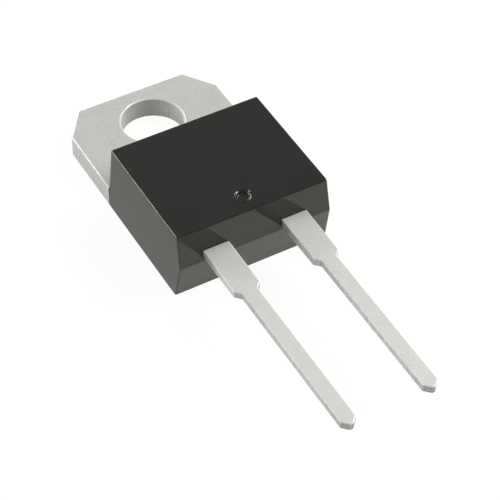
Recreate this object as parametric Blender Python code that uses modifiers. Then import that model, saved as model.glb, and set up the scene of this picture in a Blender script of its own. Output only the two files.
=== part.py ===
"""Power rectifier diode in a two-lead moulded package with a screw tab.

The package lies on its back. X runs across it, the tab points along +Y, the leads point along -Y
and Z is up. The origin is the middle of the package's outline, on the mounting face.

Inside the moulding, lengths along Y are measured from the front parting line, which runs just below
the leads, so every piece hangs on one empty that stands there.
"""

import math

import bmesh
import bpy
from mathutils import Matrix

MM = 0.001

# Heatsink header: the tab outside the moulding and the pad inside it
PACKAGE_WIDTH = 10.0 * MM
TAB_THICKNESS = 1.4 * MM
TAB_LENGTH = 6.85 * MM
TAB_CORNER_ACROSS = 1.4 * MM
TAB_CORNER_ALONG = 1.95 * MM
HOLE_DIAMETER = 3.9 * MM
HOLE_FROM_TAB_END = 2.95 * MM
HOLE_SIDES = 64
PAD_FROM_FRONT = 3.1 * MM
WALL_BESIDE_LEDGE = 0.7 * MM

# Ledge round the pad that the moulding grips, and the groove that keeps moisture out
LEDGE_WIDTH = 0.3 * MM
LEDGE_THICKNESS = 0.7 * MM
GROOVE_DEPTH = 0.2 * MM
GROOVE_FROM_BACK = 0.7 * MM

# Leads
LEAD_PITCH = 5.08 * MM
LEAD_THICKNESS = 0.5 * MM
LEAD_RISE = 1.2 * MM
LEAD_LENGTH = 14.3 * MM
LEAD_WIDTH = 0.95 * MM
SHOULDER_STEP = 0.35 * MM
SHOULDER_LENGTH = 3.35 * MM
TIP_WIDTH = 0.19 * MM
BEND_INSIDE_RADIUS = 0.25 * MM
BEND_STEPS = 6
BEND_FROM_LEDGE = 0.45 * MM
BEND_FROM_FRONT = 0.92 * MM

# Post of the anode lead, inside the moulding
POST_WIDTH = 3.4 * MM
POST_LENGTH = 1.5 * MM
POST_FROM_FRONT = 0.9 * MM
POST_FLARE = 0.3 * MM

# Moulding
BODY_LENGTH = 8.75 * MM
BODY_HEIGHT = 4.6 * MM
PARTING_BELOW_LEADS = 0.12 * MM
SIDE_DRAFT = 1.8
BACK_DRAFT = 4.6
FRONT_DRAFT_ABOVE = 11.4
FRONT_DRAFT_BELOW = 10.3
BODY_EDGE_RADIUS = 0.1 * MM
MARK_DIAMETER = 0.8 * MM
MARK_SLOPE_WIDTH = 0.065 * MM
MARK_DEPTH = 0.2 * MM
MARK_FROM_FRONT = 1.6 * MM
MARK_SIDES = 40

# Chip, its solder and the wires to the post
CHIP_SIDE = 3.2 * MM
CHIP_THICKNESS = 0.3 * MM
CHIP_EDGE = 0.06 * MM
CHIP_MARGIN = 1.0 * MM
SOLDER_THICKNESS = 0.08 * MM
SOLDER_FILLET = 0.15 * MM
WIRE_COUNT = 2
WIRE_DIAMETER = 0.38 * MM
WIRE_SPACING_ON_CHIP = 1.3 * MM
WIRE_SPACING_ON_POST = 1.1 * MM
WIRE_FOOT = 0.7 * MM
WIRE_COVER = 0.45 * MM
WIRE_STEPS = 14

# Space left for each bond: between pieces that touch, and round what the moulding holds
GAP = 0.02 * MM
WELD = 0.0001 * MM
OVERSHOOT = 1.0 * MM
FLAT_ANGLE = math.radians(0.1)
SMOOTH_ANGLE = math.radians(30)
CORNER_ANGLE = math.radians(45)

# Places that follow from the sizes, along Y from the front parting line and up from the back
TAB_END = BODY_LENGTH + TAB_LENGTH
HOLE_Y = TAB_END - HOLE_FROM_TAB_END
LEDGE_FRONT = PAD_FROM_FRONT - LEDGE_WIDTH
LEDGE_SIDE = PACKAGE_WIDTH / 2 - WALL_BESIDE_LEDGE
LEAD_UNDERSIDE = TAB_THICKNESS + LEAD_RISE
LEAD_TOP = LEAD_UNDERSIDE + LEAD_THICKNESS
PARTING_LEVEL = LEAD_UNDERSIDE - PARTING_BELOW_LEADS
SHOULDER_SIDE = LEAD_WIDTH / 2 + SHOULDER_STEP
CATHODE_X = -LEAD_PITCH / 2
ANODE_X = LEAD_PITCH / 2
POST_BACK = POST_FROM_FRONT + POST_LENGTH
CHIP_Y = PAD_FROM_FRONT + CHIP_MARGIN + CHIP_SIDE / 2
SOLDER_UNDERSIDE = TAB_THICKNESS + GAP
CHIP_UNDERSIDE = SOLDER_UNDERSIDE + SOLDER_THICKNESS + GAP
CHIP_TOP = CHIP_UNDERSIDE + CHIP_THICKNESS
PARTING_LINE_Y = (LEAD_LENGTH - TAB_END) / 2

# A drawing in X and Y that is turned so that it reads along Y and up Z, and its depth is X
SIDE_VIEW = Matrix(((0, 0, 1, 0), (1, 0, 0, 0), (0, 1, 0, 0), (0, 0, 0, 1)))


def clear_scene():
    for old in list(bpy.data.objects):
        bpy.data.objects.remove(old, do_unlink=True)


def new_collection(name):
    made = bpy.data.collections.new(name)
    bpy.context.scene.collection.children.link(made)
    return made


def new_material(name, colour, roughness, metallic):
    made = bpy.data.materials.new(name)
    made.use_nodes = True
    shader = made.node_tree.nodes["Principled BSDF"]
    shader.inputs["Base Color"].default_value = (*colour, 1.0)
    shader.inputs["Roughness"].default_value = roughness
    shader.inputs["Metallic"].default_value = metallic
    return made


clear_scene()
parts = new_collection("rectifier_diode")
cutters = new_collection("cutters")
datum = bpy.data.objects.new("front_parting_line", None)
datum.location = (0.0, PARTING_LINE_Y, 0.0)
parts.objects.link(datum)


def place(piece, collection, basis=Matrix.Identity(4)):
    """Hangs a piece on the datum, in the parts or among the hidden cutters."""
    collection.objects.link(piece)
    piece.parent = datum
    piece.matrix_basis = basis
    if collection is cutters:
        piece.hide_render = True
        piece.display_type = "WIRE"
    return piece


def finish(piece, material):
    """Gives a piece its material and smooth shading between its sharp edges."""
    piece.data.materials.clear()
    piece.data.materials.append(material)
    piece.data.shade_smooth()
    piece.data.set_sharp_from_angle(angle=SMOOTH_ANGLE)
    return piece


def mesh_object(name, bm, collection, basis=Matrix.Identity(4)):
    bmesh.ops.recalc_face_normals(bm, faces=bm.faces)
    mesh = bpy.data.meshes.new(name)
    bm.to_mesh(mesh)
    bm.free()
    return place(bpy.data.objects.new(name, mesh), collection, basis)


def combine(piece, other, operation):
    change = piece.modifiers.new(operation.lower(), "BOOLEAN")
    change.operation = operation
    change.solver = "EXACT"
    change.object = other


def curve_to_mesh(name, curve, collection, basis):
    """Turns a drawn curve into a welded, closed mesh object and removes the curve."""
    drawn = bpy.data.objects.new(name + "_drawing", curve)
    bpy.context.scene.collection.objects.link(drawn)
    bpy.context.view_layer.update()
    evaluated = drawn.evaluated_get(bpy.context.evaluated_depsgraph_get())
    bm = bmesh.new()
    mesh = bpy.data.meshes.new_from_object(evaluated)
    bm.from_mesh(mesh)
    bpy.data.meshes.remove(mesh)
    bpy.data.objects.remove(drawn, do_unlink=True)
    bpy.data.curves.remove(curve)
    bmesh.ops.remove_doubles(bm, verts=bm.verts, dist=WELD)
    bmesh.ops.dissolve_limit(bm, angle_limit=FLAT_ANGLE, verts=bm.verts, edges=bm.edges)
    return mesh_object(name, bm, collection, basis)


def prism(name, outlines, low, high, collection, view=Matrix.Identity(4)):
    """Extrudes a flat outline, with any holes inside it, between two levels."""
    curve = bpy.data.curves.new(name, "CURVE")
    curve.dimensions = "2D"
    curve.fill_mode = "BOTH"
    curve.extrude = (high - low) / 2
    for outline in outlines:
        spline = curve.splines.new("POLY")
        spline.points.add(len(outline) - 1)
        spline.use_cyclic_u = True
        for point, (across, along) in zip(spline.points, outline):
            point.co = (across, along, 0.0, 1.0)
    basis = view @ Matrix.Translation((0.0, 0.0, (low + high) / 2))
    return curve_to_mesh(name, curve, collection, basis)


def circle(centre_x, centre_y, radius, sides):
    turns = [2 * math.pi * step / sides for step in range(sides)]
    return [(centre_x + radius * math.cos(a), centre_y + radius * math.sin(a)) for a in turns]


def lead_outline(middle, grow):
    """Edge of a lead outside the moulding, from its left root round the tip to its right root."""
    shoulder = SHOULDER_SIDE + grow
    neck = LEAD_WIDTH / 2 + grow
    tip = TIP_WIDTH / 2 + grow
    taper_end = -SHOULDER_LENGTH - SHOULDER_STEP
    tip_start = -LEAD_LENGTH + (LEAD_WIDTH - TIP_WIDTH) / 2
    left = [(-shoulder, -SHOULDER_LENGTH), (-neck, taper_end), (-neck, tip_start), (-tip, -LEAD_LENGTH)]
    right = [(-x, y) for x, y in reversed(left)]
    return [(middle + x, y) for x, y in left + right]


def header_plan(grow):
    """The header from above: tab with chamfered corners, pad with its ledge, and the cathode lead."""
    tab = PACKAGE_WIDTH / 2 + grow
    pad = LEDGE_SIDE + grow
    front = LEDGE_FRONT - grow
    shoulder = SHOULDER_SIDE + grow
    back = BODY_LENGTH - grow
    corner = TAB_END - TAB_CORNER_ALONG
    outline = [(-pad, back), (-pad, front), (CATHODE_X - shoulder, front)]
    outline += lead_outline(CATHODE_X, grow)
    outline += [(CATHODE_X + shoulder, front), (pad, front), (pad, back), (tab, back)]
    outline += [(tab, corner), (tab - TAB_CORNER_ACROSS, TAB_END), (TAB_CORNER_ACROSS - tab, TAB_END)]
    outline += [(-tab, corner), (-tab, back)]
    return outline


def round_bends(path, radius):
    """Points on a bent mid-line, each with the direction across the strip there."""
    samples = []
    for before, corner, after in zip([None] + path[:-1], path, path[1:] + [None]):
        if before is None or after is None:
            other = after if before is None else before
            run = math.atan2(other[1] - corner[1], other[0] - corner[0])
            run += math.pi if before is not None else 0.0
            samples.append((corner, (-math.sin(run), math.cos(run))))
            continue
        first = math.atan2(corner[1] - before[1], corner[0] - before[0])
        second = math.atan2(after[1] - corner[1], after[0] - corner[0])
        turn = math.remainder(second - first, 2 * math.pi)
        reach = radius * math.tan(abs(turn) / 2)
        side = math.copysign(radius, turn)
        start = (corner[0] - reach * math.cos(first), corner[1] - reach * math.sin(first))
        centre = (start[0] - side * math.sin(first), start[1] + side * math.cos(first))
        for step in range(BEND_STEPS + 1):
            run = first + turn * step / BEND_STEPS
            across = (-math.sin(run), math.cos(run))
            samples.append(((centre[0] - side * across[0], centre[1] - side * across[1]), across))
    return samples


def header_profile(grow):
    """The header from the side: a thick slab whose thin front end is bent up to the leads' level."""
    low = TAB_THICKNESS - LEAD_THICKNESS / 2
    high = LEAD_UNDERSIDE + LEAD_THICKNESS / 2
    step = PAD_FROM_FRONT - LEDGE_WIDTH / 2 - grow
    bend_start = LEDGE_FRONT - BEND_FROM_LEDGE
    path = [(step, low), (bend_start, low), (BEND_FROM_FRONT, high), (-LEAD_LENGTH - OVERSHOOT, high)]
    strip = round_bends(path, BEND_INSIDE_RADIUS + LEAD_THICKNESS / 2)
    half = LEAD_THICKNESS / 2 + grow
    under = [(y + across[0] * half, z + across[1] * half) for (y, z), across in strip]
    over = [(y - across[0] * half, z - across[1] * half) for (y, z), across in reversed(strip)]
    back = TAB_END + OVERSHOOT
    return [(back, -grow), (step, -grow)] + under + over + [(back, TAB_THICKNESS + grow)]


def ledge_relief(grow):
    """Cutter that thins the edge of the pad from below and leaves the ledge."""
    inner = LEDGE_SIDE - LEDGE_WIDTH + grow
    outer = LEDGE_SIDE + OVERSHOOT
    front = PAD_FROM_FRONT - grow
    far_front = LEDGE_FRONT - OVERSHOOT
    back = BODY_LENGTH - grow
    outline = [(-outer, far_front), (outer, far_front), (outer, back), (inner, back)]
    outline += [(inner, front), (-inner, front), (-inner, back), (-outer, back)]
    top = TAB_THICKNESS - LEDGE_THICKNESS - grow
    return prism("ledge_relief", [outline], -OVERSHOOT, top, cutters)


def moisture_groove(grow):
    """Cutter for the V groove across the header's top, just inside the back of the moulding."""
    middle = BODY_LENGTH - GROOVE_FROM_BACK
    level = TAB_THICKNESS + grow
    depth = GROOVE_DEPTH - grow * (math.sqrt(2) - 1)
    rise = OVERSHOOT / 2
    side = depth + rise
    outline = [(middle - side, level + rise), (middle, level - depth), (middle + side, level + rise)]
    half = LEDGE_SIDE + OVERSHOOT
    return prism("moisture_groove", [outline], -half, half, cutters, SIDE_VIEW)


def header(name, collection, grow=0.0):
    """Heatsink header and cathode lead, the solid that its plan and its side profile share."""
    outlines = [header_plan(grow)]
    if grow == 0.0:
        outlines.append(circle(0.0, HOLE_Y, HOLE_DIAMETER / 2, HOLE_SIDES))
    piece = prism(name, outlines, -OVERSHOOT, LEAD_TOP + OVERSHOOT, collection)
    half = PACKAGE_WIDTH / 2 + OVERSHOOT
    profile = prism("header_profile", [header_profile(grow)], -half, half, cutters, SIDE_VIEW)
    combine(piece, profile, "INTERSECT")
    combine(piece, ledge_relief(grow), "DIFFERENCE")
    combine(piece, moisture_groove(grow), "DIFFERENCE")
    return piece


def anode_lead(name, collection, grow=0.0):
    """Anode lead with the wide post inside the moulding that the wires are bonded to."""
    shoulder = SHOULDER_SIDE + grow
    post = POST_WIDTH / 2 + grow
    front = POST_FROM_FRONT - grow
    back = POST_BACK + grow
    side = front + POST_FLARE
    outline = [(ANODE_X - post, back), (ANODE_X - post, side), (ANODE_X - shoulder, front)]
    outline += lead_outline(ANODE_X, grow)
    outline += [(ANODE_X + shoulder, front), (ANODE_X + post, side), (ANODE_X + post, back)]
    return prism(name, [outline], LEAD_UNDERSIDE - grow, LEAD_TOP + grow, collection)


def block(name, side, underside, height, collection, grow=0.0):
    """Square layer of the chip's stack, centred over the chip's place on the pad."""
    bm = bmesh.new()
    bmesh.ops.create_cube(bm, size=1.0)
    bmesh.ops.scale(bm, verts=bm.verts, vec=(side + 2 * grow, side + 2 * grow, height + 2 * grow))
    return mesh_object(name, bm, collection, Matrix.Translation((0.0, CHIP_Y, underside + height / 2)))


def solder(name, collection, grow=0.0):
    return block(name, CHIP_SIDE + 2 * SOLDER_FILLET, SOLDER_UNDERSIDE, SOLDER_THICKNESS, collection, grow)


def chip(name, collection, grow=0.0):
    """Silicon chip; its top edges are bevelled where the junction is passivated."""
    piece = block(name, CHIP_SIDE, CHIP_UNDERSIDE, CHIP_THICKNESS, collection, grow)
    bm = bmesh.new()
    bm.from_mesh(piece.data)
    top = [edge for edge in bm.edges if all(vert.co.z > 0 for vert in edge.verts)]
    bmesh.ops.bevel(bm, geom=top, offset=CHIP_EDGE, segments=1, affect="EDGES")
    bm.to_mesh(piece.data)
    bm.free()
    return piece


def bond_wire(name, number, collection, grow=0.0):
    """Wire number 0, 1, ... with a flat foot on the chip, a loop, and a flat foot on the post."""
    radius = WIRE_DIAMETER / 2
    place_in_row = number - (WIRE_COUNT - 1) / 2
    chip_x = place_in_row * WIRE_SPACING_ON_CHIP
    post_x = ANODE_X + place_in_row * WIRE_SPACING_ON_POST
    chip_y = CHIP_Y
    post_y = (POST_FROM_FRONT + POST_BACK) / 2
    run = math.hypot(post_x - chip_x, post_y - chip_y)
    heading = ((post_x - chip_x) / run, (post_y - chip_y) / run)
    chip_z = CHIP_TOP + GAP + radius
    post_z = LEAD_TOP + GAP + radius
    crest_z = BODY_HEIGHT - WIRE_COVER - radius
    foot = WIRE_FOOT / 2
    points = [(-foot - grow, chip_z)]
    for step in range(WIRE_STEPS + 1):
        share = step / WIRE_STEPS
        ease = share * share * (3 - 2 * share)
        level = chip_z + (post_z - chip_z) * ease
        arch = math.sin(math.pi * share) ** 2
        points.append((foot + (run - 2 * foot) * share, level + (crest_z - level) * arch))
    points.append((run + foot + grow, post_z))
    curve = bpy.data.curves.new(name, "CURVE")
    curve.dimensions = "3D"
    curve.twist_mode = "Z_UP"
    curve.bevel_depth = radius + grow
    curve.bevel_resolution = 3
    curve.use_fill_caps = True
    spline = curve.splines.new("POLY")
    spline.points.add(len(points) - 1)
    for point, (along, level) in zip(spline.points, points):
        point.co = (chip_x + heading[0] * along, chip_y + heading[1] * along, level, 1.0)
    return curve_to_mesh(name, curve, collection, Matrix.Identity(4))


def half_width_at(level):
    return PACKAGE_WIDTH / 2 - math.tan(math.radians(SIDE_DRAFT)) * level


def back_wall_at(level):
    return BODY_LENGTH - math.tan(math.radians(BACK_DRAFT)) * max(0.0, level - TAB_THICKNESS)


def front_wall_at(level):
    above = level - PARTING_LEVEL
    draft = FRONT_DRAFT_ABOVE if above > 0 else FRONT_DRAFT_BELOW
    return math.tan(math.radians(draft)) * abs(above)


def is_rounded(edge):
    """Whether a corner of the moulding is rounded: all but those round its back and beside the tab."""
    lowest = min(vert.co.z for vert in edge.verts)
    highest = max(vert.co.z for vert in edge.verts)
    at_front = all(vert.co.y < BODY_LENGTH / 2 for vert in edge.verts)
    return lowest > TAB_THICKNESS - WELD or (at_front and highest > WELD)


def top_mark():
    """Cutter for the shallow round mark in the moulding's top face."""
    rim = MARK_DIAMETER / 2
    floor = rim - MARK_SLOPE_WIDTH
    top = rim + MARK_SLOPE_WIDTH
    profile = [(0.0, MARK_DEPTH), (top, MARK_DEPTH), (floor, -MARK_DEPTH), (0.0, -MARK_DEPTH)]
    mesh = bpy.data.meshes.new("top_mark")
    edges = [(index, index + 1) for index in range(len(profile) - 1)]
    mesh.from_pydata([(x, 0.0, z) for x, z in profile], edges, [])
    turned = place(bpy.data.objects.new("top_mark", mesh), cutters)
    turned.location = (0.0, MARK_FROM_FRONT, BODY_HEIGHT)
    screw = turned.modifiers.new("turn", "SCREW")
    screw.steps = MARK_SIDES
    screw.render_steps = MARK_SIDES
    screw.use_merge_vertices = True
    screw.merge_threshold = WELD
    return turned


def moulded_body(name):
    """Epoxy moulding: a drafted block, hollow only where it holds the metal, the chip and the wires."""
    bm = bmesh.new()
    bmesh.ops.create_cube(bm, size=1.0)
    bmesh.ops.translate(bm, verts=bm.verts, vec=(0.0, 0.5, 0.5))
    bmesh.ops.scale(bm, verts=bm.verts, vec=(PACKAGE_WIDTH, BODY_LENGTH, BODY_HEIGHT))
    for level in (TAB_THICKNESS, PARTING_LEVEL):
        everything = bm.verts[:] + bm.edges[:] + bm.faces[:]
        bmesh.ops.bisect_plane(bm, geom=everything, plane_co=(0, 0, level), plane_no=(0, 0, 1))
    for vert in bm.verts:
        level = vert.co.z
        at_front = vert.co.y < BODY_LENGTH / 2
        vert.co.x = math.copysign(half_width_at(level), vert.co.x)
        vert.co.y = front_wall_at(level) if at_front else back_wall_at(level)
    rounded = [edge for edge in bm.edges if edge.calc_face_angle() > CORNER_ANGLE and is_rounded(edge)]
    bmesh.ops.bevel(bm, geom=rounded, offset=BODY_EDGE_RADIUS, segments=2, profile=0.5, affect="EDGES",
                    loop_slide=True)
    body = mesh_object(name, bm, parts)
    combine(body, header("header_space", cutters, GAP), "DIFFERENCE")
    combine(body, anode_lead("anode_space", cutters, GAP), "DIFFERENCE")
    combine(body, solder("solder_space", cutters, GAP), "DIFFERENCE")
    combine(body, chip("chip_space", cutters, GAP), "DIFFERENCE")
    for number in range(WIRE_COUNT):
        combine(body, bond_wire(f"wire_space_{number + 1}", number, cutters, GAP), "DIFFERENCE")
    combine(body, top_mark(), "DIFFERENCE")
    return body


epoxy = new_material("black_epoxy", (0.018, 0.018, 0.017), 0.25, 0.0)
tin = new_material("tin_plated_copper", (0.72, 0.72, 0.69), 0.4, 1.0)
silicon = new_material("silicon", (0.16, 0.17, 0.19), 0.2, 1.0)
soft_solder = new_material("soft_solder", (0.55, 0.55, 0.56), 0.45, 1.0)
aluminium = new_material("aluminium_wire", (0.8, 0.8, 0.81), 0.3, 1.0)

finish(header("heatsink_header", parts), tin)
finish(anode_lead("anode_lead", parts), tin)
finish(solder("chip_solder", parts), soft_solder)
finish(chip("diode_chip", parts), silicon)
for wire in range(WIRE_COUNT):
    finish(bond_wire(f"bond_wire_{wire + 1}", wire, parts), aluminium)
finish(moulded_body("moulded_body"), epoxy)
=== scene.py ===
"""Looks of a power rectifier diode that lies on its back: a glossy black moulding between a
drilled tab and two flat leads, all in satin tin, on a white floor in soft light."""

import math

import bmesh
import bpy
from mathutils import Matrix, Quaternion, Vector


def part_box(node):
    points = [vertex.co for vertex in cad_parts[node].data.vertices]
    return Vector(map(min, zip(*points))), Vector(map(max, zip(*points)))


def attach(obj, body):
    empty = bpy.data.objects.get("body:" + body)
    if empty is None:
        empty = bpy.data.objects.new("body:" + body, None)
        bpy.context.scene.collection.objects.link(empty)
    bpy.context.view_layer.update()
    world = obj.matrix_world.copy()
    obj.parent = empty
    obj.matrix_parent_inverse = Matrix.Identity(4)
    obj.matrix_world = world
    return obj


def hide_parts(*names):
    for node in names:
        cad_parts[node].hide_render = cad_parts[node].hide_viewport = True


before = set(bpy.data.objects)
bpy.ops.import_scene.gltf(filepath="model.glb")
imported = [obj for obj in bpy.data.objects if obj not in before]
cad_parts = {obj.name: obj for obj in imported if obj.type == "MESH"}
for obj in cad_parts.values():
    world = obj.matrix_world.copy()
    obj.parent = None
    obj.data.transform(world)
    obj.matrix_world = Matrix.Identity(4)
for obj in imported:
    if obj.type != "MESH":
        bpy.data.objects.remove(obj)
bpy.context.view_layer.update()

MM = 0.001

# Camera: the point it looks at, the side it looks from, and its distance and lens
AIM = Vector((0.107, 0.215, 0.747)) * MM
HEADING = math.radians(30.77)
ELEVATION = math.radians(46.52)
ROLL = math.radians(1.39)
DISTANCE = 109.97 * MM
LENS = 137.45

# Rounding of the edges
STAMPED_EDGE = 0.08 * MM
LEAD_EDGE_SHARE = 0.75
UNDER_EDGE_SHARE = 0.3
MOULDING_EDGE = 0.145 * MM
PARTING_SHARE = 0.6
MARK_FLOOR_SHARE = 0.3
EDGE_STEPS = 4

# What counts as a corner, a curve, a flat and a slight fold, the widest facet of a curve, and how
# near two points are one
CORNER_ANGLE = math.radians(34)
CURVE_ANGLE = math.radians(50)
STRIP_WIDTH = 0.25 * MM
WELD = 0.001 * MM
FLAT_ANGLE = math.radians(0.3)
SLIGHT_ANGLE = math.radians(3)
PARTING_ANGLE = math.radians(21.7)

# Round mark in the moulding's top, and the parting line across its front
MARK_Y = 0.95 * MM
MARK_REACH = 0.5 * MM
MARK_DEPTH = 0.2 * MM
PARTING_LEVEL = 2.48 * MM

# Top face of the tab
TAB_TOP = 1.4 * MM

# Drawn wires inside the moulding, from the chip to the post of the anode lead
WIRE_SIDES = 20
WIRE_STEPS = 48
WIRE_DIAMETER = 0.38 * MM
WIRE_FOOT = 0.7 * MM
WIRE_CREST = 3.96 * MM
CHIP_FEET = (Vector((-0.65, 5.05, 2.03)) * MM, Vector((0.65, 5.05, 2.03)) * MM)
POST_FEET = (Vector((1.99, 1.0, 3.31)) * MM, Vector((3.09, 1.0, 3.31)) * MM)

# Dark lines that the punch leaves one above the other on the ends of the leads
LAYER_SPACING = 0.19 * MM
LAYER_WOBBLE = 5.0
LAYER_CONTRAST = (-0.6, 0.3)
WOBBLES_PER_METRE = 2500.0

# Streaks that the punch leaves up the sheared sides, and the darkest tone and depth of its marks, also used
# for the painted shade on faces that face forwards
STREAKS_PER_METRE = 7000.0
STREAK_STRETCH = (1.0, 1.0, 0.15)
STREAK_CONTRAST = (0.35, 0.65)
PUNCH_MARK_AND_SHADE_DARK = (0.30, 0.30, 0.29, 1.0)
PUNCH_DEPTH = 0.02 * MM

# How far a face's normal points up where it stops being a side, and forwards where it becomes a front
SIDE_LIMITS = (0.1, 0.5)
FRONT_LIMITS = (0.4, 0.95)

# Range that most of a grain value lies in, and the depth of the grain
GRAIN_LOW = 0.3
GRAIN_HIGH = 0.7
PLATED_GRAIN = 0.014 * MM
POLISHED_GRAIN = 0.001 * MM
INNER_GRAIN = 0.002 * MM

# Tin as plated, and a brighter tin on the upper rounded edges that paints a highlight line there
TIN_METALLIC = 0.25
TIN_ROUGHNESS = (0.34, 0.44)
TIN_CONTRAST = (0.32, 0.68)
EDGE_HIGHLIGHT_METALLIC = 0.3
EDGE_HIGHLIGHT_ROUGHNESS = (0.3, 0.4)

# Moulding
EPOXY_DARK = (0.0135, 0.0135, 0.0128, 1.0)
EPOXY_PALE = (0.0175, 0.0175, 0.0165, 1.0)
EPOXY_ROUGHNESS = (0.05, 0.09)
EPOXY_IOR = 1.6
EPOXY_GLOSS_TINT = (1.0, 0.99, 0.9, 1.0)

# Stage: the floor is matt under the light, and mostly plain white where the camera sees it
LAMP_DISTANCE = 0.3
FLOOR_SIDE = 4.0
FLOOR_DROP = 0.01 * MM
FLOOR_GREY = 0.7
FLOOR_WHITE = 1.09
FLOOR_WHITE_SHARE = 0.85

# Backdrop: its brightness in the part's gloss, low down and higher up, and as light on the part
HORIZON_BRIGHTNESS = 1.0
SKY_BRIGHTNESS = 0.28
HORIZON_HEIGHTS = (0.02, 0.15)
ROOM_LIGHT = 0.3

# Square lamps: heading from +Y towards +X and height, both in degrees, side in metres, and radiance
LAMPS = (
    ("behind", 0, 14, 0.13, 5.4),
    ("behind_left", 335, 22, 0.13, 3.2),
    ("left", 290, 32, 0.08, 5.2),
    ("low_behind_left", 311, 12, 0.05, 23.0),
    ("low_right", 102, 27, 0.075, 12.5),
    ("high_right", 107, 44, 0.11, 11.8),
    ("behind_right", 70, 42, 0.15, 2.0),
)

# Painted light and shade on the floor as the part's gloss sees it, darker near the part where its shade would
# fall: places along Y in millimetres, each with its brightness
GLOW_START = -20.0
GLOW_END = 40.0
GLOSS_LIGHT_AND_SHADE_STOPS = ((-15.0, 0.58), (-10.0, 1.0), (-6.5, 1.04), (-4.0, 0.76), (-0.8, 1.0), (0.9, 0.66),
              (15.0, 0.62), (30.0, 1.1))
GLOW_TINT = (1.0, 0.99, 0.94)


def look_direction():
    """Direction from the camera to the point it looks at."""
    level = math.cos(ELEVATION)
    return Vector((math.sin(HEADING) * level, math.cos(HEADING) * level, -math.sin(ELEVATION)))


def camera():
    """Camera at the photo's viewing angle."""
    data = bpy.data.cameras.new("camera")
    data.lens = LENS
    data.clip_start = DISTANCE / 100
    data.clip_end = FLOOR_SIDE * 2
    made = bpy.data.objects.new("camera", data)
    forward = look_direction()
    turn = forward.to_track_quat("-Z", "Y") @ Quaternion((0.0, 0.0, 1.0), ROLL)
    made.matrix_world = Matrix.Translation(AIM - forward * DISTANCE) @ turn.to_matrix().to_4x4()
    bpy.context.scene.collection.objects.link(made)
    bpy.context.scene.camera = made


# Shader helpers

def add_node(tree, kind, **settings):
    node = tree.nodes.new(kind)
    for name, value in settings.items():
        setattr(node, name, value)
    return node


def feed(tree, target, source):
    """Links a socket to another socket, or sets its value."""
    if isinstance(source, bpy.types.NodeSocket):
        tree.links.new(source, target)
    else:
        target.default_value = source


def calculate(tree, operation, *values):
    node = add_node(tree, "ShaderNodeMath", operation=operation)
    for target, value in zip(node.inputs, values):
        feed(tree, target, value)
    return node.outputs[0]


def stretch(tree, vector, amounts):
    node = add_node(tree, "ShaderNodeVectorMath", operation="MULTIPLY")
    feed(tree, node.inputs[0], vector)
    node.inputs[1].default_value = amounts
    return node.outputs[0]


def noise(tree, vector, scale, detail, roughness=0.5):
    node = add_node(tree, "ShaderNodeTexNoise")
    feed(tree, node.inputs["Vector"], vector)
    feed(tree, node.inputs["Scale"], scale)
    node.inputs["Detail"].default_value = detail
    node.inputs["Roughness"].default_value = roughness
    return node.outputs["Fac"]


def spread(tree, value, low, high, from_low=0.0, from_high=1.0):
    """Maps a value from one range to another and keeps it inside."""
    node = add_node(tree, "ShaderNodeMapRange")
    for name, number in (("Value", value), ("From Min", from_low), ("From Max", from_high),
                         ("To Min", low), ("To Max", high)):
        feed(tree, node.inputs[name], number)
    return node.outputs["Result"]


def over_grain(tree, value, low, high):
    """Runs from low to high over the range that most of a grain value lies in."""
    return spread(tree, value, low, high, GRAIN_LOW, GRAIN_HIGH)


def mix_colour(tree, share, first, second):
    node = add_node(tree, "ShaderNodeMix", data_type="RGBA")
    feed(tree, node.inputs["Factor"], share)
    feed(tree, node.inputs[6], first)
    feed(tree, node.inputs[7], second)
    return node.outputs[2]


def node_group(name, inputs, outputs):
    """New shader group with its named sockets, and its input and output nodes."""
    group = bpy.data.node_groups.new(name, "ShaderNodeTree")
    for label, kind in inputs:
        group.interface.new_socket(label, in_out="INPUT", socket_type=kind)
    for label, kind in outputs:
        group.interface.new_socket(label, in_out="OUTPUT", socket_type=kind)
    return group, group.nodes.new("NodeGroupInput"), group.nodes.new("NodeGroupOutput")


def fine_grain_group():
    """Fine grain over a slow drift, as a value for colour and roughness and as a height."""
    group, given, out = node_group(
        "fine_grain",
        [("Vector", "NodeSocketVector"), ("Grain per metre", "NodeSocketFloat"),
         ("Drift per metre", "NodeSocketFloat"), ("Drift share", "NodeSocketFloat")],
        [("Value", "NodeSocketFloat"), ("Height", "NodeSocketFloat")],
    )
    grain = noise(group, given.outputs["Vector"], given.outputs["Grain per metre"], detail=3.0, roughness=0.6)
    drift = noise(group, given.outputs["Vector"], given.outputs["Drift per metre"], detail=2.0)
    blend = add_node(group, "ShaderNodeMix", data_type="FLOAT")
    feed(group, blend.inputs["Factor"], given.outputs["Drift share"])
    feed(group, blend.inputs[2], grain)
    feed(group, blend.inputs[3], drift)
    feed(group, out.inputs["Value"], blend.outputs[0])
    feed(group, out.inputs["Height"], grain)
    return group


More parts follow.
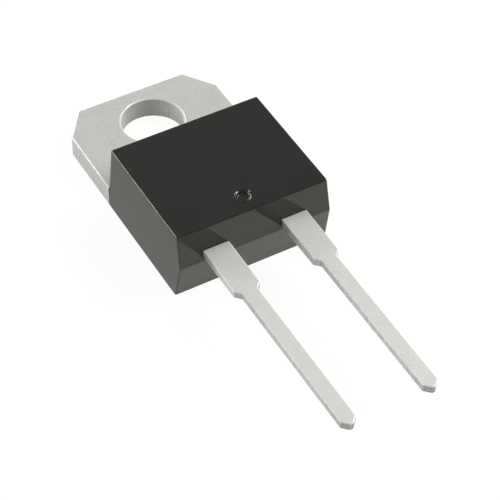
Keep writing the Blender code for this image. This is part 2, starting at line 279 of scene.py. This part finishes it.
def punch_marks_and_front_shade_group():
    """Punch marks on upright faces, streaks up the sides and layers across the fronts, and painted shade on
    forward faces.
    """
    group, given, out = node_group(
        "punch_marks_and_front_shade",
        [("Vector", "NodeSocketVector"), ("Normal", "NodeSocketVector"),
         ("Streak share", "NodeSocketFloat"), ("Front share", "NodeSocketFloat"),
         ("Layer share", "NodeSocketFloat")],
        [("Side", "NodeSocketFloat"), ("Dark", "NodeSocketFloat"), ("Height", "NodeSocketFloat")],
    )
    facing = add_node(group, "ShaderNodeSeparateXYZ")
    feed(group, facing.inputs[0], given.outputs["Normal"])
    side = spread(group, calculate(group, "ABSOLUTE", facing.outputs["Z"]), 1.0, 0.0, *SIDE_LIMITS)
    forward = calculate(group, "MULTIPLY", facing.outputs["Y"], -1.0)
    front = spread(group, forward, 0.0, 1.0, *FRONT_LIMITS)
    upward = stretch(group, given.outputs["Vector"], STREAK_STRETCH)
    streaks = noise(group, upward, STREAKS_PER_METRE, detail=3.0, roughness=0.6)
    streaks = spread(group, streaks, 0.0, 1.0, *STREAK_CONTRAST)
    place = add_node(group, "ShaderNodeSeparateXYZ")
    feed(group, place.inputs[0], given.outputs["Vector"])
    waves = noise(group, given.outputs["Vector"], WOBBLES_PER_METRE, detail=2.0)
    wobble = calculate(group, "MULTIPLY", waves, LAYER_WOBBLE)
    phase = calculate(group, "MULTIPLY_ADD", place.outputs["Z"], math.tau / LAYER_SPACING, wobble)
    layers = spread(group, calculate(group, "SINE", phase), 1.0, 0.0, *LAYER_CONTRAST)
    rough = calculate(group, "MULTIPLY", streaks, given.outputs["Streak share"])
    # Front share darkens each face that faces forwards evenly: painted shade, not a punch mark.
    even = calculate(group, "MULTIPLY_ADD", layers, given.outputs["Layer share"],
                     given.outputs["Front share"])
    pattern = add_node(group, "ShaderNodeMix", data_type="FLOAT")
    for socket, value in ((0, front), (2, rough), (3, even)):
        feed(group, pattern.inputs[socket], value)
    dark = calculate(group, "MULTIPLY", pattern.outputs[0], side)
    feed(group, out.inputs["Side"], side)
    feed(group, out.inputs["Dark"], dark)
    feed(group, out.inputs["Height"], calculate(group, "MULTIPLY", dark, -1.0))
    return group


fine_grain = fine_grain_group()
punch_marks_and_front_shade = punch_marks_and_front_shade_group()


def new_material(name):
    """New material with its tree, its shader and the object coordinates."""
    made = bpy.data.materials.new(name)
    made.use_nodes = True
    tree = made.node_tree
    return made, tree, tree.nodes["Principled BSDF"], add_node(tree, "ShaderNodeTexCoord").outputs["Object"]


def place_group(tree, group, **values):
    """Places a shader group and sets its inputs, whose names have _ for a space."""
    node = add_node(tree, "ShaderNodeGroup", node_tree=group)
    for label, value in values.items():
        feed(tree, node.inputs[label.replace("_", " ")], value)
    return node


def bump(tree, shader, layers):
    """Stacks bump layers of (height, distance, strength) under a shader's normal."""
    below = None
    for height, distance, strength in layers:
        node = add_node(tree, "ShaderNodeBump")
        node.inputs["Strength"].default_value = strength
        node.inputs["Distance"].default_value = distance
        feed(tree, node.inputs["Height"], height)
        if below is not None:
            feed(tree, node.inputs["Normal"], below)
        below = node.outputs["Normal"]
    feed(tree, shader.inputs["Normal"], below)


def tin_plate(name, bright, dull, side_tone_and_painted_light, streak_share, front_painted_shade, layer_share):
    """Satin tin over stamped copper, with its own tone on the upright cut sides, partly their finish and
    partly painted light, and painted shade on faces that face forwards.
    """
    made, tree, shader, place = new_material(name)
    grain = place_group(tree, fine_grain, Vector=place, Grain_per_metre=9000.0,
                        Drift_per_metre=900.0, Drift_share=0.2)
    facing = add_node(tree, "ShaderNodeTexCoord").outputs["Normal"]
    side = place_group(tree, punch_marks_and_front_shade, Vector=place, Normal=facing, Streak_share=streak_share,
                       Front_share=front_painted_shade, Layer_share=layer_share)
    tone = mix_colour(tree, spread(tree, grain.outputs["Value"], 0.0, 1.0, *TIN_CONTRAST), dull, bright)
    # Upright sides take their own tone, partly the cut finish and partly painted light: brighter than the top
    # on the tab, darker on the leads.
    tone = mix_colour(tree, side.outputs["Side"], tone, side_tone_and_painted_light)
    # Punch marks, and painted shade on the forward faces, darken the tin
    tone = mix_colour(tree, side.outputs["Dark"], tone, PUNCH_MARK_AND_SHADE_DARK)
    feed(tree, shader.inputs["Base Color"], tone)
    shader.inputs["Metallic"].default_value = TIN_METALLIC
    feed(tree, shader.inputs["Roughness"], over_grain(tree, grain.outputs["Value"], *TIN_ROUGHNESS))
    bump(tree, shader, [(grain.outputs["Height"], PLATED_GRAIN, 0.6),
                        (side.outputs["Height"], PUNCH_DEPTH, 0.5)])
    return made


def edge_highlight_tin(name, bright, dull):
    """Brighter tin for the upper rounded edges, a painted highlight line."""
    made, tree, shader, place = new_material(name)
    grain = place_group(tree, fine_grain, Vector=place, Grain_per_metre=7000.0,
                        Drift_per_metre=900.0, Drift_share=0.2)
    value = grain.outputs["Value"]
    tone = mix_colour(tree, over_grain(tree, value, 0.0, 1.0), dull, bright)
    feed(tree, shader.inputs["Base Color"], tone)
    shader.inputs["Metallic"].default_value = EDGE_HIGHLIGHT_METALLIC
    feed(tree, shader.inputs["Roughness"], over_grain(tree, value, *EDGE_HIGHLIGHT_ROUGHNESS))
    bump(tree, shader, [(grain.outputs["Height"], POLISHED_GRAIN, 0.3)])
    return made


def black_epoxy():
    """Filled black epoxy as it comes from a polished mould."""
    made, tree, shader, place = new_material("black_epoxy")
    grain = place_group(tree, fine_grain, Vector=place, Grain_per_metre=9000.0,
                        Drift_per_metre=350.0, Drift_share=0.6)
    value = grain.outputs["Value"]
    tone = mix_colour(tree, over_grain(tree, value, 0.0, 1.0), EPOXY_DARK, EPOXY_PALE)
    feed(tree, shader.inputs["Base Color"], tone)
    feed(tree, shader.inputs["Roughness"], over_grain(tree, value, *EPOXY_ROUGHNESS))
    shader.inputs["IOR"].default_value = EPOXY_IOR
    shader.inputs["Specular Tint"].default_value = EPOXY_GLOSS_TINT
    bump(tree, shader, [(grain.outputs["Height"], POLISHED_GRAIN, 0.15)])
    return made


def inner_metal(name, bright, dull, roughness, grain_per_metre):
    """Bare metal, solder or silicon inside the moulding, with its grain."""
    made, tree, shader, place = new_material(name)
    grain = place_group(tree, fine_grain, Vector=place, Grain_per_metre=grain_per_metre,
                        Drift_per_metre=1200.0, Drift_share=0.4)
    value = grain.outputs["Value"]
    tone = mix_colour(tree, over_grain(tree, value, 0.0, 1.0), dull, bright)
    feed(tree, shader.inputs["Base Color"], tone)
    shader.inputs["Metallic"].default_value = 1.0
    feed(tree, shader.inputs["Roughness"], over_grain(tree, value, *roughness))
    bump(tree, shader, [(grain.outputs["Height"], INNER_GRAIN, 0.4)])
    return made


# Pieces

def lone_mesh(name, mesh):
    """Object for a mesh, linked to the scene."""
    made = bpy.data.objects.new(name, mesh)
    bpy.context.scene.collection.objects.link(made)
    return made


def plain(piece):
    """Applies a piece's modifiers and leaves a plain mesh."""
    evaluated = piece.evaluated_get(bpy.context.evaluated_depsgraph_get())
    mesh = bpy.data.meshes.new_from_object(evaluated)
    name = piece.name
    old = piece.data
    piece.modifiers.clear()
    piece.data = mesh
    mesh.name = name
    if isinstance(old, bpy.types.Mesh):
        bpy.data.meshes.remove(old)
    return piece


def width_of(face):
    """Width of a long, narrow face."""
    return face.calc_area() / max(edge.calc_length() for edge in face.edges)


def rounded_copy(node, name, radius, roundness, materials, edges=(), pick=None):
    """Copy of a CAD node, merged to whole faces, with chosen edges rounded and its flats kept flat.

    The rounded upper edges take their materials from edges, brighter tones that paint a highlight
    line on them. The function pick gives the place of a face's material in either list.
    """
    bm = bmesh.new()
    bm.from_mesh(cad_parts[node].data)
    bmesh.ops.remove_doubles(bm, verts=bm.verts, dist=WELD)
    bmesh.ops.dissolve_limit(bm, angle_limit=FLAT_ANGLE, verts=bm.verts, edges=bm.edges)
    bmesh.ops.recalc_face_normals(bm, faces=bm.faces)
    weights = bm.edges.layers.float.new("bevel_weight_edge")
    for edge in bm.edges:
        angle = edge.calc_face_angle()
        share = roundness(edge, angle)
        curved = min(width_of(face) for face in edge.link_faces) < STRIP_WIDTH and angle < CURVE_ANGLE
        edge[weights] = share
        edge.smooth = share > 0.0 or curved or angle < FLAT_ANGLE
    for face in bm.faces:
        face.smooth = True
        face.material_index = pick(face.calc_center_median()) if pick else 0
    mesh = bpy.data.meshes.new(name)
    bm.to_mesh(mesh)
    bm.free()
    for material in (*materials, *edges):
        mesh.materials.append(material)
    made = lone_mesh(name, mesh)
    bevel = made.modifiers.new("rounded_edges", "BEVEL")
    bevel.material = len(materials) if edges else -1
    bevel.limit_method = "WEIGHT"
    bevel.width = radius
    bevel.segments = EDGE_STEPS
    bevel.use_clamp_overlap = False
    flats = made.modifiers.new("flat_faces_stay_flat", "WEIGHTED_NORMAL")
    flats.keep_sharp = True
    flats.weight = 100
    bpy.context.view_layer.update()
    plain(made)
    # Upper faces of the rounded edges take the brighter edge tin, a painted highlight line; lower ones keep
    # the plain tin.
    for face in made.data.polygons:
        if edges and face.material_index == len(materials):
            row = len(materials) if face.normal.z > 0.0 else 0
            face.material_index = row + (pick(face.center) if pick else 0)
    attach(made, "root")
    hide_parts(node)
    return made


def wire_tree():
    """Geometry nodes for a wire that loops between two flat feet."""
    tree = bpy.data.node_groups.new("looped_wire", "GeometryNodeTree")
    sockets = {}
    for label, kind in (("Chip end", "NodeSocketVector"), ("Post end", "NodeSocketVector"),
                        ("Foot length", "NodeSocketFloat"), ("Crest", "NodeSocketFloat"),
                        ("Diameter", "NodeSocketFloat"), ("Material", "NodeSocketMaterial")):
        sockets[label] = tree.interface.new_socket(label, in_out="INPUT", socket_type=kind).identifier
    tree.interface.new_socket("Geometry", in_out="OUTPUT", socket_type="NodeSocketGeometry")
    given = tree.nodes.new("NodeGroupInput")
    out = tree.nodes.new("NodeGroupOutput")
    line = add_node(tree, "GeometryNodeCurvePrimitiveLine")
    feed(tree, line.inputs["Start"], given.outputs["Chip end"])
    feed(tree, line.inputs["End"], given.outputs["Post end"])
    points = add_node(tree, "GeometryNodeResampleCurve")
    feed(tree, points.inputs["Curve"], line.outputs["Curve"])
    feed(tree, points.inputs["Count"], WIRE_STEPS)
    way = add_node(tree, "GeometryNodeSplineParameter")
    run = add_node(tree, "ShaderNodeVectorMath", operation="DISTANCE")
    feed(tree, run.inputs[0], given.outputs["Chip end"])
    feed(tree, run.inputs[1], given.outputs["Post end"])
    foot = calculate(tree, "DIVIDE", given.outputs["Foot length"], run.outputs["Value"])
    share = spread(tree, way.outputs["Factor"], 0.0, 1.0, foot, calculate(tree, "SUBTRACT", 1.0, foot))
    chip = add_node(tree, "ShaderNodeSeparateXYZ")
    feed(tree, chip.inputs[0], given.outputs["Chip end"])
    post = add_node(tree, "ShaderNodeSeparateXYZ")
    feed(tree, post.inputs[0], given.outputs["Post end"])
    level = add_node(tree, "ShaderNodeMapRange", interpolation_type="SMOOTHSTEP")
    for label, value in (("Value", share), ("To Min", chip.outputs["Z"]), ("To Max", post.outputs["Z"])):
        feed(tree, level.inputs[label], value)
    arch = calculate(tree, "SINE", calculate(tree, "MULTIPLY", share, math.pi))
    to_crest = calculate(tree, "SUBTRACT", given.outputs["Crest"], level.outputs["Result"])
    arch = calculate(tree, "MULTIPLY", arch, arch)
    height = calculate(tree, "MULTIPLY_ADD", arch, to_crest, level.outputs["Result"])
    place = add_node(tree, "GeometryNodeInputPosition")
    flat = add_node(tree, "ShaderNodeSeparateXYZ")
    feed(tree, flat.inputs[0], place.outputs[0])
    lifted = add_node(tree, "ShaderNodeCombineXYZ")
    feed(tree, lifted.inputs["X"], flat.outputs["X"])
    feed(tree, lifted.inputs["Y"], flat.outputs["Y"])
    feed(tree, lifted.inputs["Z"], height)
    bent = add_node(tree, "GeometryNodeSetPosition")
    feed(tree, bent.inputs["Geometry"], points.outputs["Curve"])
    feed(tree, bent.inputs["Position"], lifted.outputs[0])
    ring = add_node(tree, "GeometryNodeCurvePrimitiveCircle")
    feed(tree, ring.inputs["Resolution"], WIRE_SIDES)
    feed(tree, ring.inputs["Radius"], calculate(tree, "DIVIDE", given.outputs["Diameter"], 2.0))
    solid = add_node(tree, "GeometryNodeCurveToMesh")
    feed(tree, solid.inputs["Curve"], bent.outputs["Geometry"])
    feed(tree, solid.inputs["Profile Curve"], ring.outputs["Curve"])
    solid.inputs["Fill Caps"].default_value = True
    whole = add_node(tree, "GeometryNodeRealizeInstances")
    feed(tree, whole.inputs["Geometry"], solid.outputs["Mesh"])
    finish = add_node(tree, "GeometryNodeSetMaterial")
    feed(tree, finish.inputs["Geometry"], whole.outputs["Geometry"])
    feed(tree, finish.inputs["Material"], given.outputs["Material"])
    feed(tree, out.inputs["Geometry"], finish.outputs["Geometry"])
    return tree, sockets


def drawn_wire(number, tree, sockets, material):
    """Wire number 1, 2, ... with smooth sides, in place of its CAD node."""
    chip = CHIP_FEET[number - 1]
    post = POST_FEET[number - 1]
    along = Vector((post.x - chip.x, post.y - chip.y, 0.0)).normalized() * WIRE_FOOT / 2
    made = lone_mesh(f"drawn_wire_{number}", bpy.data.meshes.new("wire"))
    loop = made.modifiers.new("looped_wire", "NODES")
    loop.node_group = tree
    for label, value in (("Chip end", chip - along), ("Post end", post + along),
                         ("Foot length", WIRE_FOOT), ("Crest", WIRE_CREST),
                         ("Diameter", WIRE_DIAMETER), ("Material", material)):
        loop[sockets[label]] = value
    bpy.context.view_layer.update()
    plain(made)
    made.data.shade_smooth()
    made.data.set_sharp_from_angle(angle=CORNER_ANGLE)
    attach(made, "root")
    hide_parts(f"bond_wire_{number}")


camera()

# The side tones are partly the cut finish and partly painted light; the front share paints shade on the tab's
# forward faces.
tab_tin = tin_plate("tab_tin", bright=(0.65, 0.65, 0.61, 1.0), dull=(0.53, 0.53, 0.50, 1.0),
                    side_tone_and_painted_light=(0.77, 0.77, 0.74, 1.0), streak_share=0.4, front_painted_shade=0.6, layer_share=0.08)
lead_tin = tin_plate("lead_tin", bright=(0.77, 0.77, 0.73, 1.0), dull=(0.65, 0.65, 0.62, 1.0),
                     side_tone_and_painted_light=(0.65, 0.65, 0.62, 1.0), streak_share=0.55, front_painted_shade=0.0, layer_share=0.66)
# Brighter edge tins: painted highlight lines along the upper rounded edges.
tab_edge_highlight = edge_highlight_tin("tab_edge_painted_highlight", bright=(0.91, 0.91, 0.88, 1.0), dull=(0.81, 0.81, 0.78, 1.0))
lead_edge_highlight = edge_highlight_tin("lead_edge_painted_highlight", bright=(0.92, 0.92, 0.89, 1.0), dull=(0.82, 0.82, 0.79, 1.0))
epoxy = black_epoxy()
silicon = inner_metal("silicon", bright=(0.17, 0.18, 0.20, 1.0), dull=(0.14, 0.15, 0.17, 1.0),
                      roughness=(0.15, 0.25), grain_per_metre=6000.0)
solder = inner_metal("soft_solder", bright=(0.56, 0.56, 0.57, 1.0), dull=(0.48, 0.48, 0.49, 1.0),
                     roughness=(0.4, 0.55), grain_per_metre=9000.0)
aluminium = inner_metal("aluminium_wire", bright=(0.82, 0.82, 0.83, 1.0), dull=(0.76, 0.76, 0.77, 1.0),
                        roughness=(0.25, 0.35), grain_per_metre=12000.0)

body_low, body_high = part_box("moulded_body")
lead_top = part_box("anode_lead")[1].z


def metal_roundness(edge, angle):
    """Rounds the corners of the metal that show, at least at one end, and less on the punch's far side."""
    shows = any(v.co.y < body_low.y or v.co.y > body_high.y - STAMPED_EDGE for v in edge.verts)
    if not shows or angle < CORNER_ANGLE:
        return 0.0
    on_lead = edge.verts[0].co.y < body_low.y
    top = lead_top if on_lead else TAB_TOP
    if any(v.co.z < top - WELD for v in edge.verts):
        return UNDER_EDGE_SHARE
    return LEAD_EDGE_SHARE if on_lead else 1.0


def moulding_roundness(edge, angle):
    """Rounds the round mark's rim and floor and the front parting line; the solid has the other edges."""
    middle = (edge.verts[0].co + edge.verts[1].co) / 2
    if angle > CORNER_ANGLE and math.hypot(middle.x, middle.y - MARK_Y) < MARK_REACH:
        depth = body_high.z - middle.z
        if depth < MARK_DEPTH / 2:
            return 1.0
        return MARK_FLOOR_SHARE if depth < MARK_DEPTH + WELD else 0.0
    at_parting = all(abs(v.co.z - PARTING_LEVEL) < 2 * WELD and v.co.y < 0.0 for v in edge.verts)
    return PARTING_SHARE * min(angle / PARTING_ANGLE, 1.0) if at_parting and angle > SLIGHT_ANGLE else 0.0


tab = rounded_copy("heatsink_header", "tab_and_cathode_lead", STAMPED_EDGE, metal_roundness,
                   (tab_tin, lead_tin), (tab_edge_highlight, lead_edge_highlight), lambda place: int(place.y < body_low.y))
lead = rounded_copy("anode_lead", "anode_lead_plated", STAMPED_EDGE, metal_roundness,
                    (lead_tin,), (lead_edge_highlight,))
moulding = rounded_copy("moulded_body", "black_moulding", MOULDING_EDGE, moulding_roundness, (epoxy,))

for node, material in (("diode_chip", silicon), ("chip_solder", solder)):
    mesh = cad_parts[node].data
    mesh.materials.clear()
    mesh.materials.append(material)
looped_wire, wire_sockets = wire_tree()
for wire in range(1, len(CHIP_FEET) + 1):
    drawn_wire(wire, looped_wire, wire_sockets, aluminium)


# Stage and light

def stage_floor():
    """White floor with the part's shadow, whose look in the part's gloss runs through the glow stops of
    painted light and shade.
    """
    bm = bmesh.new()
    bmesh.ops.create_grid(bm, x_segments=1, y_segments=1, size=FLOOR_SIDE / 2)
    bmesh.ops.translate(bm, verts=bm.verts, vec=(0.0, 0.0, -FLOOR_DROP))
    mesh = bpy.data.meshes.new("floor")
    bm.to_mesh(mesh)
    bm.free()
    floor = lone_mesh("floor", mesh)
    made = bpy.data.materials.new("white_floor")
    made.use_nodes = True
    tree = made.node_tree
    tree.nodes.clear()
    path = add_node(tree, "ShaderNodeLightPath")
    mirrored = calculate(tree, "MAXIMUM", path.outputs["Is Glossy Ray"], path.outputs["Is Transmission Ray"])
    seen = calculate(tree, "MULTIPLY", path.outputs["Is Camera Ray"], FLOOR_WHITE_SHARE)
    place = add_node(tree, "ShaderNodeSeparateXYZ")
    feed(tree, place.inputs[0], add_node(tree, "ShaderNodeTexCoord").outputs["Object"])
    ramp = add_node(tree, "ShaderNodeValToRGB")
    feed(tree, ramp.inputs[0], spread(tree, place.outputs["Y"], 0.0, 1.0, GLOW_START * MM, GLOW_END * MM))
    while len(ramp.color_ramp.elements) < len(GLOSS_LIGHT_AND_SHADE_STOPS):
        ramp.color_ramp.elements.new(1.0)
    for stop, (along, brightness) in zip(ramp.color_ramp.elements, GLOSS_LIGHT_AND_SHADE_STOPS):
        stop.position = (along - GLOW_START) / (GLOW_END - GLOW_START)
        stop.color = [brightness * tint for tint in GLOW_TINT] + [1.0]
    matt = add_node(tree, "ShaderNodeBsdfDiffuse")
    matt.inputs["Color"].default_value = (FLOOR_GREY, FLOOR_GREY, FLOOR_GREY, 1.0)
    glow = add_node(tree, "ShaderNodeEmission")
    white = (FLOOR_WHITE, FLOOR_WHITE, FLOOR_WHITE, 1.0)
    feed(tree, glow.inputs["Color"],
         mix_colour(tree, path.outputs["Is Camera Ray"], ramp.outputs["Color"], white))
    blend = add_node(tree, "ShaderNodeMixShader")
    feed(tree, blend.inputs["Fac"], calculate(tree, "MAXIMUM", seen, mirrored))
    feed(tree, blend.inputs[1], matt.outputs[0])
    feed(tree, blend.inputs[2], glow.outputs[0])
    out = add_node(tree, "ShaderNodeOutputMaterial")
    feed(tree, out.inputs["Surface"], blend.outputs[0])
    floor.data.materials.append(made)


def studio_world():
    """White backdrop for the camera, a pale low band in the part's gloss, and soft light from all round."""
    world = bpy.data.worlds.new("studio")
    world.use_nodes = True
    tree = world.node_tree
    tree.nodes.clear()
    path = add_node(tree, "ShaderNodeLightPath")
    way = add_node(tree, "ShaderNodeTexCoord").outputs["Generated"]
    height = add_node(tree, "ShaderNodeSeparateXYZ")
    feed(tree, height.inputs[0], way)
    level = spread(tree, height.outputs["Z"], HORIZON_BRIGHTNESS, SKY_BRIGHTNESS, *HORIZON_HEIGHTS)
    seen = calculate(tree, "MAXIMUM", path.outputs["Is Glossy Ray"], path.outputs["Is Transmission Ray"])
    mirrored = spread(tree, seen, ROOM_LIGHT, level)
    backdrop = add_node(tree, "ShaderNodeBackground")
    feed(tree, backdrop.inputs["Strength"], spread(tree, path.outputs["Is Camera Ray"], mirrored, 1.0))
    backdrop.inputs["Color"].default_value = (1.0, 1.0, 1.0, 1.0)
    out = add_node(tree, "ShaderNodeOutputWorld")
    feed(tree, out.inputs["Surface"], backdrop.outputs[0])
    bpy.context.scene.world = world


def softbox(name, heading, height, side, radiance):
    """Square lamp that faces the part, placed by its heading from +Y towards +X and its angle of height."""
    data = bpy.data.lights.new(name, "AREA")
    data.shape = "SQUARE"
    data.size = side
    data.energy = radiance * math.pi * side * side
    made = bpy.data.objects.new(name, data)
    turn = math.radians(heading)
    level = math.cos(math.radians(height))
    toward = Vector((math.sin(turn) * level, math.cos(turn) * level, math.sin(math.radians(height))))
    facing = toward.to_track_quat("Z", "Y").to_matrix().to_4x4()
    made.matrix_world = Matrix.Translation(toward * LAMP_DISTANCE) @ facing
    made.visible_camera = False
    bpy.context.scene.collection.objects.link(made)


stage_floor()
studio_world()
for lamp in LAMPS:
    softbox(*lamp)

bpy.context.scene.view_settings.view_transform = "Standard"
